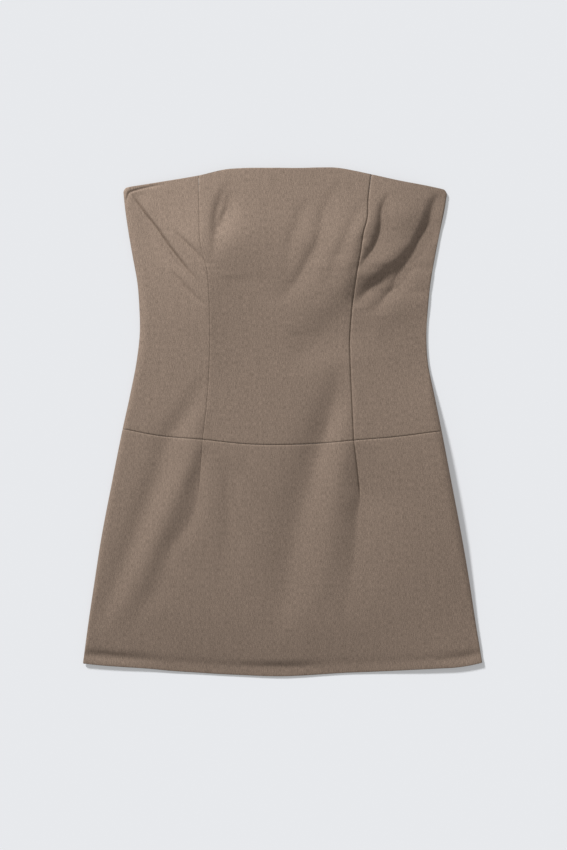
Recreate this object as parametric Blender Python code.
"""A strapless mini dress in suiting cloth, zipped up and laid flat on its back.

Metres. +Z is up from the surface that the dress lies on, +Y runs from the hem to the top edge and
+X points to the wearer's left. The origin is the middle of the laid outline, on the surface.
Tables are in millimetres. Each piece of cloth is one wall with an outer and an inner skin.
"""

import math
from collections import namedtuple

import bpy
import numpy as np

MM = 0.001

# Cloth and seams
CLOTH = 1.1 * MM
SEAM_GAP = 0.3 * MM
SEAM_DIP = 0.5 * MM
SEAM_DIP_WIDTH = 3.0 * MM
HEM_DEPTH = 17.0 * MM
HEM_TURNING = 0.6 * MM
TOP_TURNING = 0.4 * MM
TOP_TURNING_DEPTH = 8.0 * MM
TURNING_STEP = 1.5 * MM

# Rolled side edges
CORNER_RADIUS = 7.0 * MM
CORNER_CUT = 0.6
LEAST_ROLL = 2.5 * MM
MOST_ROLL = 12.0 * MM
ROLL_TIGHTNESS = 1.7
ROLL_SEGMENTS = 5

# How far the hidden back stays inside the front's outline
BACK_HEM_SHORT = 2.0 * MM
BACK_HEM_RISE = 18.0 * MM
BACK_TOP_DIP = 7.0 * MM

# Least height of the front's outer face where it lies on the back, and past the back's hem
LEAST_HEIGHT = 3.6 * MM
LEAST_HEM_HEIGHT = 1.9 * MM

# Size of the mesh cells, across and along
BODICE_CELL = (11.0 * MM, 11.0 * MM)
SKIRT_CELL = (13.5 * MM, 13.5 * MM)
BACK_CELL = (28.0 * MM, 17.0 * MM)

# Concealed zip in the centre back seam
ZIP_TOP = 4.0 * MM
ZIP_LENGTH = 400.0 * MM
TAPE_WIDTH = 24.0 * MM
TAPE_THICKNESS = 1.0 * MM
COIL_WIDTH = 4.6 * MM
COIL_HEIGHT = 1.2 * MM

CLOTH_COLOUR = (0.215, 0.160, 0.125, 1.0)
TAPE_COLOUR = (0.19, 0.145, 0.115, 1.0)

Section = namedtuple("Section", "y left right")
Place = namedtuple("Place", "x y")
Loft = namedtuple("Loft", "y left middle right left_seam right_seam")
Mound = namedtuple("Mound", "x y wide above below height")
Bend = namedtuple("Bend", "y x left right height")
Climb = namedtuple("Climb", "above steep gentle")
Press = namedtuple("Press", "x steep dip")

# Side edges of the laid dress, from the underarm past the waist to the hem
SIDE_EDGES = [
    Section(300, -207.0, 214.0),
    Section(280, -205.0, 211.0),
    Section(245, -200.0, 203.9),
    Section(215, -194.8, 198.0),
    Section(180, -188.6, 192.0),
    Section(150, -186.2, 189.0),
    Section(115, -185.6, 186.8),
    Section(80, -189.5, 188.4),
    Section(35, -198.2, 197.0),
    Section(-10, -208.0, 205.9),
    Section(-80, -222.0, 219.2),
    Section(-153, -235.9, 233.1),
    Section(-205, -244.0, 242.1),
    Section(-260, -252.2, 250.6),
    Section(-312, -259.2, 259.2),
]

# Princess seams of the front bodice, from the top edge to the hip seam
PRINCESS_SEAMS = [
    Section(321, -109.0, 115.2),
    Section(290, -108.6, 111.2),
    Section(262, -108.0, 109.5),
    Section(245, -107.6, 104.8),
    Section(222, -104.6, 101.3),
    Section(199, -98.2, 97.2),
    Section(166, -95.3, 92.2),
    Section(133, -94.3, 89.0),
    Section(104, -94.0, 87.4),
    Section(80, -94.7, 87.9),
    Section(31, -97.6, 89.9),
    Section(-24, -103.8, 92.4),
]

# Darts of the front skirt. Below its point each line only guides the mesh down to the hem.
DART_LINES = [
    Section(-22, -103.6, 92.3),
    Section(-70, -107.0, 98.0),
    Section(-99, -109.4, 100.9),
    Section(-200, -113.0, 104.0),
    Section(-330, -117.0, 107.0),
]
DART_POINT = -99.5 * MM
DART_FADE = 12.0 * MM

TOP_EDGE = [
    Place(-207, 304.3),
    Place(-154, 312.9),
    Place(-109, 320.5),
    Place(-72, 328.7),
    Place(-52, 329.9),
    Place(-10, 329.7),
    Place(24, 329.9),
    Place(48, 330.8),
    Place(70, 330.7),
    Place(94, 326.7),
    Place(115, 322.2),
    Place(153, 313.8),
    Place(188, 307.3),
    Place(214, 301.6),
]
HIP_SEAM = [
    Place(-209.0, -8.8),
    Place(-161.0, -17.9),
    Place(-104.0, -22.9),
    Place(-44.5, -28.9),
    Place(10.0, -29.5),
    Place(50.0, -27.8),
    Place(92.0, -23.9),
    Place(141.6, -19.9),
    Place(206.4, -11.6),
]
HEM = [
    Place(-259.2, -313.6),
    Place(-238, -315.9),
    Place(-206, -318.3),
    Place(-175, -320.4),
    Place(-144, -323.4),
    Place(-113, -325.5),
    Place(-81, -327.6),
    Place(-50, -329.0),
    Place(-20, -330.2),
    Place(0, -330.4),
    Place(25, -329.5),
    Place(54, -327.7),
    Place(81, -326.0),
    Place(106, -325.0),
    Place(137, -323.6),
    Place(168, -322.0),
    Place(199, -320.4),
    Place(230, -318.3),
    Place(246, -315.6),
    Place(259.2, -312.6),
]

# Height of the front's outer face at its edges and middle, and height of the side seams
LOFTS = [
    Loft(331, 5.6, 8.8, 3.7, 2.6, 2.0),
    Loft(300, 6.0, 9.6, 3.8, 2.6, 2.0),
    Loft(240, 6.8, 11.0, 4.2, 3.0, 2.2),
    Loft(160, 7.0, 10.2, 4.8, 3.1, 2.4),
    Loft(120, 7.0, 9.6, 4.1, 3.2, 2.2),
    Loft(90, 7.0, 9.4, 3.7, 3.2, 2.1),
    Loft(70, 7.1, 9.5, 4.4, 3.2, 2.4),
    Loft(50, 7.1, 9.7, 6.6, 3.3, 3.6),
    Loft(35, 7.2, 9.9, 9.0, 3.3, 5.0),
    Loft(10, 7.2, 10.4, 12.2, 3.4, 7.2),
    Loft(-12, 7.3, 10.8, 13.8, 3.4, 8.4),
    Loft(-66, 7.4, 11.4, 15.2, 3.4, 9.4),
    Loft(-150, 7.4, 11.0, 13.0, 3.5, 7.8),
    Loft(-195, 7.1, 10.6, 10.0, 3.4, 5.6),
    Loft(-257, 6.6, 9.6, 5.8, 3.2, 3.1),
    Loft(-300, 5.6, 8.6, 5.1, 2.8, 2.7),
    Loft(-332, 5.0, 8.4, 5.0, 2.5, 2.6),
]

# Fullness of the bust cups, and above the outer side of the one on the right
MOUNDS = [
    Mound(-88, 230, 60, 50, 50, 8.0),
    Mound(88, 232, 56, 50, 80, 8.0),
    Mound(146, 274, 30, 24, 34, 2.0),
]

# Largest folds, each from its top end to its bottom end: troughs are below zero, and left and right are the
# widths of their two sides
FOLDS = {
    "right underarm": [
        Bend(300, 203, 7, 9, 0.0),
        Bend(288, 197, 8, 10, -1.6),
        Bend(268, 191, 8, 11, -2.8),
        Bend(247, 184, 9, 14, -3.8),
        Bend(226, 173, 10, 15, -5.0),
        Bend(205, 154, 10, 17, -5.2),
        Bend(184, 125, 9, 16, -4.4),
        Bend(164, 105, 8, 14, -2.4),
        Bend(148, 92, 8, 12, 0.0),
    ],
    "right underarm ridge": [
        Bend(300, 192, 20, 9, 0.0),
        Bend(284, 184, 28, 9, 1.5),
        Bend(268, 178, 38, 10, 2.6),
        Bend(247, 170, 44, 11, 3.5),
        Bend(226, 156, 46, 12, 3.7),
        Bend(195, 122, 34, 11, 2.4),
        Bend(162, 90, 22, 10, 0.0),
    ],
    "right cup hook": [
        Bend(298, 138, 7, 8, 0.0),
        Bend(284, 131, 7, 12, -1.6),
        Bend(266, 127, 7, 28, -3.6),
        Bend(247, 125.5, 8, 44, -4.6),
        Bend(226, 118, 8, 35, -4.0),
        Bend(208, 105, 7, 24, -1.8),
        Bend(194, 96, 7, 20, 0.0),
    ],
    "below the underarm fold": [
        Bend(218, 160, 8, 12, 0.0),
        Bend(200, 155, 8, 14, -1.4),
        Bend(174, 145, 8, 18, -2.6),
        Bend(153, 127, 8, 18, -1.6),
        Bend(138, 112, 8, 16, 0.0),
    ],
    "centre first": [
        Bend(292, 33, 9, 10, 0.0),
        Bend(276, 26, 9, 11, -0.9),
        Bend(237, 12, 9, 12, -1.0),
        Bend(176, 4, 10, 12, -0.4),
        Bend(160, 2, 10, 12, 0.0),
    ],
    "centre second": [
        Bend(312, 72, 8, 10, 0.0),
        Bend(289, 60, 8, 13, -1.1),
        Bend(263, 51, 9, 15, -1.8),
        Bend(237, 47, 9, 16, -2.5),
        Bend(211, 34, 9, 17, -2.8),
        Bend(185, 20, 9, 17, -2.1),
        Bend(150, -8, 9, 14, 0.0),
    ],
    "centre third": [
        Bend(288, 102, 8, 8, 0.0),
        Bend(268, 95, 8, 9, -0.9),
        Bend(240, 82, 8, 11, -1.5),
        Bend(224, 76, 8, 12, -1.7),
        Bend(196, 65, 8, 12, -1.0),
        Bend(172, 56, 8, 12, 0.0),
    ],
    "under the right cup": [
        Bend(190, 108, 14, 24, 0.0),
        Bend(170, 98, 18, 28, -1.3),
        Bend(146, 84, 22, 32, -2.0),
        Bend(112, 54, 24, 32, -2.2),
        Bend(96, 40, 20, 28, -1.6),
        Bend(66, 18, 12, 20, 0.0),
    ],
    "left cup": [
        Bend(312, -68, 8, 8, 0.0),
        Bend(296, -74, 9, 8, -1.6),
        Bend(280, -76, 11, 8, -3.0),
        Bend(266, -77, 12, 8, -3.7),
        Bend(252, -79, 11, 8, -3.3),
        Bend(238, -82, 8, 8, -2.1),
        Bend(222, -87, 8, 8, 0.0),
    ],
    "left underarm": [
        Bend(290, -196, 8, 8, 0.0),
        Bend(250, -167, 11, 8, -1.8),
        Bend(226, -152, 12, 8, -2.2),
        Bend(195, -127, 11, 8, -1.6),
        Bend(172, -105, 9, 8, -0.6),
        Bend(162, -97, 8, 8, 0.0),
    ],
    "left seam ridge": [
        Bend(262, -108, 40, 30, 0.0),
        Bend(222, -104, 50, 34, 1.8),
        Bend(185, -97, 50, 34, 5.0),
        Bend(150, -95, 52, 38, 6.2),
        Bend(100, -94, 54, 40, 4.0),
        Bend(50, -96, 54, 40, 1.6),
        Bend(-10, -100, 50, 40, 0.0),
    ],
    "left hip": [
        Bend(64, -100, 9, 9, 0.0),
        Bend(35, -114, 11, 11, -1.2),
        Bend(10, -128, 13, 12, -2.0),
        Bend(-23, -149, 15, 13, -2.8),
        Bend(-62, -160, 16, 14, -3.2),
        Bend(-101, -174, 16, 14, -3.4),
        Bend(-140, -189, 15, 14, -3.0),
        Bend(-192, -209, 14, 13, -2.2),
        Bend(-244, -230, 13, 12, -1.2),
        Bend(-278, -242, 12, 12, 0.0),
    ],
    "left hip ridge": [
        Bend(26, -100, 10, 10, 0.0),
        Bend(-10, -112, 12, 10, 1.2),
        Bend(-43, -119, 14, 12, 2.2),
        Bend(-82, -133, 15, 13, 3.0),
        Bend(-121, -149, 16, 14, 3.0),
        Bend(-166, -168, 16, 14, 2.6),
        Bend(-218, -191, 15, 14, 1.8),
        Bend(-290, -228, 14, 14, 0.0),
    ],
    "left thigh": [
        Bend(-30, -103, 8, 8, 0.0),
        Bend(-43, -105, 8, 8, -1.2),
        Bend(-62, -107, 9, 8, -2.2),
        Bend(-82, -110, 11, 9, -2.8),
        Bend(-121, -117, 12, 11, -2.6),
        Bend(-166, -145, 14, 14, -2.0),
        Bend(-218, -162, 14, 16, -1.2),
        Bend(-275, -196, 13, 13, 0.0),
    ],
    "beside the left dart": [
        Bend(-46, -80, 8, 12, 0.0),
        Bend(-66, -72, 9, 16, -1.4),
        Bend(-101, -71, 10, 18, -2.0),
        Bend(-140, -69, 12, 20, -1.8),
        Bend(-175, -72, 13, 20, -1.2),
        Bend(-215, -78, 14, 20, 0.0),
    ],
    "centre skirt": [
        Bend(76, 72, 12, 12, 0.0),
        Bend(52, 70, 15, 14, -1.4),
        Bend(35, 67, 18, 15, -2.4),
        Bend(16, 62, 21, 15, -3.0),
        Bend(-4, 57, 23, 15, -3.2),
        Bend(-23, 51, 24, 16, -3.2),
        Bend(-43, 45, 26, 18, -3.2),
        Bend(-82, 33, 26, 21, -3.2),
        Bend(-121, 21, 26, 23, -3.0),
        Bend(-166, 12, 25, 24, -2.8),
        Bend(-218, 4, 24, 24, -2.2),
        Bend(-284, -8, 22, 20, 0.0),
    ],
    "centre skirt ridge": [
        Bend(20, 84, 12, 10, 0.0),
        Bend(-12, 78, 14, 11, 1.0),
        Bend(-43, 78, 16, 12, 1.4),
        Bend(-82, 69, 17, 14, 1.6),
        Bend(-121, 66, 18, 15, 1.6),
        Bend(-166, 60, 18, 17, 1.4),
        Bend(-218, 50, 18, 18, 0.9),
        Bend(-255, 40, 18, 18, 0.0),
    ],
    "beside the right dart": [
        Bend(-26, 92, 8, 14, 0.0),
        Bend(-43, 97, 9, 18, -1.6),
        Bend(-62, 98.5, 11, 24, -2.6),
        Bend(-82, 100, 13, 28, -3.4),
        Bend(-99, 101, 13, 28, -3.6),
        Bend(-121, 97, 14, 28, -3.4),
        Bend(-152, 95, 15, 26, -2.6),
        Bend(-192, 91, 16, 26, -1.8),
        Bend(-225, 86, 16, 24, -1.0),
        Bend(-258, 80, 16, 22, 0.0),
    ],
}

# Height of the front's outer face along its hem edge, how steeply or gently it climbs from there to the height
# of the skirt, and where it is steep and dips at the top of the hem turning
HEM_HEIGHT = [
    Place(-259, 4.8),
    Place(-200, 4.2),
    Place(-150, 3.1),
    Place(-107, 2.5),
    Place(-50, 2.5),
    Place(0, 2.8),
    Place(50, 2.5),
    Place(87, 2.5),
    Place(130, 3.1),
    Place(178, 4.4),
    Place(237, 5.0),
    Place(259, 5.0),
]
HEM_CLIMB = [
    Climb(-40, 0.0, 0.0),
    Climb(8, 0.0, 0.0),
    Climb(12, 0.05, 0.06),
    Climb(16, 0.3, 0.14),
    Climb(20, 0.5, 0.22),
    Climb(30, 0.68, 0.42),
    Climb(50, 0.87, 0.72),
    Climb(75, 1.0, 0.94),
    Climb(95, 1.0, 1.0),
    Climb(140, 1.0, 1.0),
]
HEM_PRESS = [
    Press(-259, 0.6, 0.8),
    Press(-237, 0.8, 1.5),
    Press(-192, 0.5, 1.0),
    Press(-107, 0.3, 0.4),
    Press(-55, 0.4, 0.4),
    Press(-3, 1.0, 0.9),
    Press(45, 0.2, 0.3),
    Press(152, 0.2, 0.4),
    Press(191, 0.4, 0.6),
    Press(241, 0.8, 1.6),
    Press(259, 0.6, 0.8),
]
PRESS_ABOVE_HEM = 12.5 * MM
PRESS_WIDTH = 6.0 * MM
HEM_ROWS = [9.0 * MM, 17.0 * MM, 18.5 * MM, 28.0 * MM]


def curve(points):
    """A smooth function through (place, value) pairs in millimetres. It runs on straight past its ends."""
    at, value = np.array(sorted(points), float).T * MM
    slope = np.gradient(value, at)

    def read(place):
        inside = np.clip(place, at[0], at[-1])
        i = np.clip(np.searchsorted(at, inside) - 1, 0, len(at) - 2)
        span = at[i + 1] - at[i]
        t = (inside - at[i]) / span
        start = (1 + 2 * t) * (1 - t) ** 2 * value[i] + t * (1 - t) ** 2 * span * slope[i]
        end = t * t * (3 - 2 * t) * value[i + 1] + t * t * (t - 1) * span * slope[i + 1]
        past = place - inside
        return start + end + past * np.where(past > 0, slope[-1], slope[0])

    return read


def column_of(rows, name):
    return curve([(row.y, getattr(row, name)) for row in rows])


def across(places):
    return curve([(place.x, place.y) for place in places])


left_side = column_of(SIDE_EDGES, "left")
right_side = column_of(SIDE_EDGES, "right")
left_princess = column_of(PRINCESS_SEAMS, "left")
right_princess = column_of(PRINCESS_SEAMS, "right")
left_dart = column_of(DART_LINES, "left")
right_dart = column_of(DART_LINES, "right")
top_edge = across(TOP_EDGE)
hip_seam = across(HIP_SEAM)
hem = across(HEM)
hem_height = across(HEM_HEIGHT)
hem_steep = curve([(press.x, press.steep / MM) for press in HEM_PRESS])
hem_dip = curve([(press.x, press.dip) for press in HEM_PRESS])
steep_climb = curve([(climb.above, climb.steep / MM) for climb in HEM_CLIMB])
gentle_climb = curve([(climb.above, climb.gentle / MM) for climb in HEM_CLIMB])
loft = {name: column_of(LOFTS, name) for name in Loft._fields[1:]}
folds = {name: {key: column_of(bends, key) for key in Bend._fields[1:]} for name, bends in FOLDS.items()}
LEFT_CORNER_Y = TOP_EDGE[0].y * MM
RIGHT_CORNER_Y = TOP_EDGE[-1].y * MM


def corner_cut(y, corner_y):
    """How far a rounded top corner lies inside the straight side at height y."""
    into = np.clip((y - (corner_y - CORNER_RADIUS)) / CORNER_RADIUS, 0, None)
    return CORNER_CUT * CORNER_RADIUS * into**2


def left_edge(y):
    return left_side(y) + corner_cut(y, LEFT_CORNER_Y)


def right_edge(y):
    return right_side(y) - corner_cut(y, RIGHT_CORNER_Y)


def back_top_edge(x):
    """The back's top edge dips a little between the side seams, so the front hides it."""
    share = (x - TOP_EDGE[0].x * MM) / ((TOP_EDGE[-1].x - TOP_EDGE[0].x) * MM)
    straight = LEFT_CORNER_Y + (RIGHT_CORNER_Y - LEFT_CORNER_Y) * share
    return straight - BACK_TOP_DIP * np.sin(math.pi * np.clip(share, 0, 1))


def back_hem(x):
    """The back's hem runs straighter from side to side than the front's, which covers it."""
    share = (x - HEM[0].x * MM) / ((HEM[-1].x - HEM[0].x) * MM)
    return hem(x) + BACK_HEM_SHORT + BACK_HEM_RISE * np.sqrt(np.sin(math.pi * np.clip(share, 0, 1)))


def fold_height(name, x, y):
    """The height that one fold adds at a point."""
    fold = folds[name]
    ends = sorted(bend.y * MM for bend in FOLDS[name])
    lean = (fold["x"](y + MM) - fold["x"](y - MM)) / (2 * MM)
    off = (x - fold["x"](y)) / np.sqrt(1 + lean**2)
    width = np.where(off < 0, fold["left"](y), fold["right"](y))
    height = fold["height"](y) * np.exp(-((off / width) ** 2))
    return np.where((y > ends[0]) & (y < ends[-1]), height, 0)


def seam_dip(distance):
    return SEAM_DIP * np.exp(-((distance / SEAM_DIP_WIDTH) ** 2))


def front_height(x, y):
    """Height of the front's outer face, inside the rolled edges."""
    low, high = left_edge(y), right_edge(y)
    share = np.clip((x - low) / (high - low), 0, 1)
    crown = 4 * share * (1 - share)
    edges = loft["left"](y) * (1 - share) + loft["right"](y) * share
    height = edges * (1 - crown) + loft["middle"](y) * crown
    for mound in MOUNDS:
        tall = np.where(y > mound.y * MM, mound.above, mound.below) * MM
        spread = ((x - mound.x * MM) / (mound.wide * MM)) ** 2 + ((y - mound.y * MM) / tall) ** 2
        height = height + mound.height * MM * np.exp(-spread)
    for name in FOLDS:
        height = height + fold_height(name, x, y)
    above = y - hem(x)
    climb = gentle_climb(above) + hem_steep(x) * (steep_climb(above) - gentle_climb(above))
    height = hem_height(x) + climb * (height - hem_height(x))
    height = height - hem_dip(x) * np.exp(-(((above - PRESS_ABOVE_HEM) / PRESS_WIDTH) ** 2))
    height = height - seam_dip(y - hip_seam(x))
    bodice = y > hip_seam(x)
    dart = np.clip((y - DART_POINT) / DART_FADE, 0, 1)
    for princess, dart_line in ((left_princess, left_dart), (right_princess, right_dart)):
        height = height - np.where(bodice, seam_dip(x - princess(y)), dart * seam_dip(x - dart_line(y)))
    return np.maximum(height, np.where(y > back_hem(x) - MM, LEAST_HEIGHT, LEAST_HEM_HEIGHT))


def back_height(x, y):
    """The back rests flat on the surface inside its rolled edges."""
    return np.zeros(np.broadcast(x, y).shape)


def roll_of(rise):
    """Width of the roll at an edge that rises this much: wide enough that the wall doesn't cross itself."""
    return np.clip(rise**2 / (ROLL_TIGHTNESS * CLOTH), LEAST_ROLL, MOST_ROLL)


class Skin:
    """The outer face of the front or the back, over (s, y): s is 0 to 1 across the flat part, and below 0 or
    above 1 round the rolled edges, where -1 and 2 are the side seams."""

    def __init__(self, height, seam_shift):
        self.height = height
        self.seam_shift = seam_shift

    def seam(self, side, y):
        return loft[side](y) + self.seam_shift

    def rolls(self, y):
        """(left roll, right roll): how wide the rolled edges are at y."""
        left_rise = np.abs(self.height(left_edge(y), y) - self.seam("left_seam", y))
        right_rise = np.abs(self.height(right_edge(y), y) - self.seam("right_seam", y))
        return roll_of(left_rise), roll_of(right_rise)

    def share(self, x, y):
        left_roll, right_roll = self.rolls(y)
        low, high = left_edge(y) + left_roll, right_edge(y) - right_roll
        return (x - low) / (high - low)

    def place(self, s, y):
        """x at (s, y), with the sine and cosine of the turn round the roll."""
        left_roll, right_roll = self.rolls(y)
        low, high = left_edge(y) + left_roll, right_edge(y) - right_roll
        left_turn = np.clip(-s, 0, 2) * math.pi / 2
        right_turn = np.clip(s - 1, 0, 2) * math.pi / 2
        x = low + np.clip(s, 0, 1) * (high - low)
        return x - left_roll * np.sin(left_turn) + right_roll * np.sin(right_turn), left_turn, right_turn

    def point(self, s, y):
        x, left_turn, right_turn = self.place(s, y)
        flat = self.height(x, y)
        z = flat * np.cos(left_turn + right_turn)
        z = z + self.seam("left_seam", y) * (1 - np.cos(left_turn))
        z = z + self.seam("right_seam", y) * (1 - np.cos(right_turn))
        return np.stack(np.broadcast_arrays(x, y, z), axis=-1)

    def normal(self, s, y, way):
        """Unit normal, pointing up for way 1 and down for way -1, and outwards at the edges."""
        small = 1e-3
        step = small * 0.1
        along_s = self.point(s + small, y) - self.point(s - small, y)
        along_y = self.point(s, y + step) - self.point(s, y - step)
        normal = np.cross(along_s, along_y) * way
        return normal / np.linalg.norm(normal, axis=-1, keepdims=True)


FRONT = Skin(front_height, SEAM_GAP / 2)
BACK = Skin(back_height, -SEAM_GAP / 2)


def stops(low, high, cell, ends=()):
    """Even shares from 0 to 1 for a span, about one cell apart, with extra ones this near each end."""
    count = max(1, round((high - low) / cell))
    even = [i / count for i in range(count + 1)]
    near = [end / (high - low) for end in ends]
    inner = [t for t in even[1:-1] if all(abs(t - n) > 0.4 / count for n in near)]
    return sorted([0.0, *inner, *near, 1.0])


def grid_of(skin, columns, bottom, top, rows):
    """(s, y) of a panel's points: one row for each share of the way from its bottom edge to its top edge."""
    s_grid, y_grid = [], []
    for column in columns:
        y = np.full(len(rows), 0.5 * (bottom(0.0) + top(0.0)))
        for _ in range(12):
            s = column(y)
            x = skin.place(s, y)[0]
            low, high = bottom(x), top(x)
            y = low + rows * (high - low)
        s_grid.append(column(y))
        y_grid.append(y)
    return np.array(s_grid).T, np.array(y_grid).T


def between(skin, left, right, share):
    """A mesh column that lies between two guide lines."""

    def column(y):
        return skin.share(left(y) * (1 - share) + right(y) * share, y)

    return column


def rolled(turn):
    """A mesh column round a rolled edge, at a fixed turn."""

    def column(y):
        return np.full(np.shape(y), turn)

    return column


def shifted(line, by):
    def moved(y):
        return line(y) + by

    return moved


def panel(name, skin, way, guides, bottom, top, cell, row_ends, left_roll, right_roll, thickness):
    """One piece of cloth: a closed wall between guide lines, from its bottom edge to its top edge."""
    turns = [i / ROLL_SEGMENTS for i in range(ROLL_SEGMENTS)]
    columns = [rolled(-1 + turn) for turn in turns] if left_roll else []
    middle_y = 0.5 * (bottom(0.0) + top(0.0))
    for i, (left, right) in enumerate(zip(guides[:-1], guides[1:])):
        at_left = i == 0 and left_roll
        at_right = i == len(guides) - 2 and right_roll
        span = float(right(middle_y) - left(middle_y))
        ends = ([] if at_left else [SEAM_DIP_WIDTH]) + ([] if at_right else [span - SEAM_DIP_WIDTH])
        shares = stops(0, span, cell[0], ends)
        shares = shares if i == 0 else shares[1:]
        columns += [between(skin, left, right, share) for share in shares]
    columns += [rolled(2 - turn) for turn in reversed(turns)] if right_roll else []
    height = float(top(0.0) - bottom(0.0))
    rows = np.array(stops(0, height, cell[1], [end if end > 0 else height + end for end in row_ends]))
    s, y = grid_of(skin, columns, bottom, top, rows)
    outer = skin.point(s, y)
    wall = thickness(outer[..., 0], y, s)
    inner = outer - skin.normal(s, y, way) * wall[..., None]
    return wall_object(name, outer, inner, way)


def wall_object(name, outer, inner, way):
    """A closed wall from matching grids of outer and inner points."""
    rows, columns = outer.shape[:2]
    points = np.concatenate([outer.reshape(-1, 3), inner.reshape(-1, 3)])
    inside = rows * columns

    def at(r, c):
        return r * columns + c

    faces = []
    for r in range(rows - 1):
        for c in range(columns - 1):
            cell = (at(r, c), at(r, c + 1), at(r + 1, c + 1), at(r + 1, c))
            faces.append(cell)
            faces.append(tuple(inside + i for i in reversed(cell)))
    rim = [at(0, c) for c in range(columns)] + [at(r, columns - 1) for r in range(1, rows)]
    rim += [at(rows - 1, c) for c in range(columns - 2, -1, -1)] + [at(r, 0) for r in range(rows - 2, 0, -1)]
    for a, b in zip(rim, rim[1:] + rim[:1]):
        faces.append((b, a, inside + a, inside + b))
    if way < 0:
        faces = [tuple(reversed(face)) for face in faces]
    mesh = bpy.data.meshes.new(name)
    mesh.from_pydata(points.tolist(), [], faces)
    mesh.shade_smooth()
    mesh.set_sharp_from_angle(angle=math.radians(50))
    return add_object(name, mesh, "cloth")


def material_of(name):
    found = bpy.data.materials.get(name)
    if found:
        return found
    colour, roughness, metallic = {
        "cloth": (CLOTH_COLOUR, 0.85, 0.0),
        "zip tape": (TAPE_COLOUR, 0.7, 0.0),
    }[name]
    made = bpy.data.materials.new(name)
    made.use_nodes = True
    shader = made.node_tree.nodes["Principled BSDF"]
    shader.inputs["Base Color"].default_value = colour
    shader.inputs["Roughness"].default_value = roughness
    shader.inputs["Metallic"].default_value = metallic
    return made


def add_object(name, mesh, material):
    made = bpy.data.objects.new(name, mesh)
    made.data.materials.append(material_of(material))
    bpy.context.scene.collection.objects.link(made)
    return made


def smooth_step(t):
    t = np.clip(t, 0, 1)
    return t * t * (3 - 2 * t)


def on_the_flat(s):
    """1 where the wall is flat and 0 round the rolled edges, where turnings are trimmed away."""
    return smooth_step(1 + np.minimum(s, 0) * 8) * smooth_step(1 - np.maximum(s - 1, 0) * 8)


def bodice_wall(top):
    """Wall thickness of a bodice piece, doubled where its top edge is turned in."""

    def thickness(x, y, s):
        turned = smooth_step(1 - (top(x) - TOP_TURNING_DEPTH - y) / TURNING_STEP)
        return CLOTH + TOP_TURNING * turned * on_the_flat(s)

    return thickness


def skirt_wall(bottom):
    """Wall thickness of a skirt piece, doubled where its hem is turned up."""

    def thickness(x, y, s):
        turned = smooth_step(1 - (y - bottom(x) - HEM_DEPTH) / TURNING_STEP)
        return CLOTH + HEM_TURNING * turned * on_the_flat(s)

    return thickness


def seam_line(line, by):
    """A crossing seam moved up or down by half of the gap."""

    def moved(x):
        return line(x) + by * SEAM_GAP / 2

    return moved


def centre_back(side):
    """The centre back seam: side is -1 on the wearer's right and 1 on the left."""

    def line(y):
        return np.full(np.shape(y), side * SEAM_GAP / 2)

    return line


def front_pieces():
    half = SEAM_GAP / 2
    above_hip, below_hip = seam_line(hip_seam, 1), seam_line(hip_seam, -1)
    top_rows = [SEAM_DIP_WIDTH, -TOP_TURNING_DEPTH - TURNING_STEP, -TOP_TURNING_DEPTH]
    shape = (FRONT, 1)
    size = (above_hip, top_edge, BODICE_CELL, top_rows)
    wall = bodice_wall(top_edge)
    panel("side_front_right", *shape, [left_edge, shifted(left_princess, -half)], *size, True, False, wall)
    guides = [shifted(left_princess, half), shifted(right_princess, -half)]
    panel("centre_front", *shape, guides, *size, False, False, wall)
    panel("side_front_left", *shape, [shifted(right_princess, half), right_edge], *size, False, True, wall)
    guides = [left_edge, left_dart, right_dart, right_edge]
    size = (hem, below_hip, SKIRT_CELL, [*HEM_ROWS, -SEAM_DIP_WIDTH])
    panel("skirt_front", *shape, guides, *size, True, True, skirt_wall(hem))


def back_pieces():
    above_hip, below_hip = seam_line(hip_seam, 1), seam_line(hip_seam, -1)
    wall, skirt = bodice_wall(back_top_edge), skirt_wall(back_hem)
    top_rows = [-TOP_TURNING_DEPTH - TURNING_STEP, -TOP_TURNING_DEPTH]
    hem_rows = [HEM_DEPTH, HEM_DEPTH + TURNING_STEP]
    bodice_size = (above_hip, back_top_edge, BACK_CELL, top_rows)
    skirt_size = (back_hem, below_hip, BACK_CELL, hem_rows)
    shape = (BACK, -1)
    right_guides, left_guides = [left_edge, centre_back(-1)], [centre_back(1), right_edge]
    panel("back_bodice_right", *shape, right_guides, *bodice_size, True, False, wall)
    panel("back_bodice_left", *shape, left_guides, *bodice_size, False, True, wall)
    panel("skirt_back_right", *shape, right_guides, *skirt_size, True, False, skirt)
    panel("skirt_back_left", *shape, left_guides, *skirt_size, False, True, skirt)


def zip_strip():
    """The closed zip: a flat tape with its coil down the middle, lying inside the centre back seam."""
    half_tape, half_coil = TAPE_WIDTH / 2, COIL_WIDTH / 2
    profile = [
        (-half_tape, 0),
        (half_tape, 0),
        (half_tape, TAPE_THICKNESS),
        (half_coil, TAPE_THICKNESS),
        (half_coil, TAPE_THICKNESS + COIL_HEIGHT),
        (-half_coil, TAPE_THICKNESS + COIL_HEIGHT),
        (-half_coil, TAPE_THICKNESS),
        (-half_tape, TAPE_THICKNESS),
    ]
    top = float(back_top_edge(0.0)) - TOP_TURNING_DEPTH - ZIP_TOP
    base = CLOTH + SEAM_GAP
    points = [(x, y, base + z) for y in (top - ZIP_LENGTH, top) for x, z in profile]
    count = len(profile)
    faces = [tuple(range(count)), tuple(reversed(range(count, 2 * count)))]
    for i in range(count):
        after = (i + 1) % count
        faces.append((i, i + count, after + count, after))
    mesh = bpy.data.meshes.new("zip")
    mesh.from_pydata(points, [], faces)
    add_object("zip", mesh, "zip tape")


def main():
    for obj in list(bpy.data.objects):
        bpy.data.objects.remove(obj)
    front_pieces()
    back_pieces()
    zip_strip()


main()
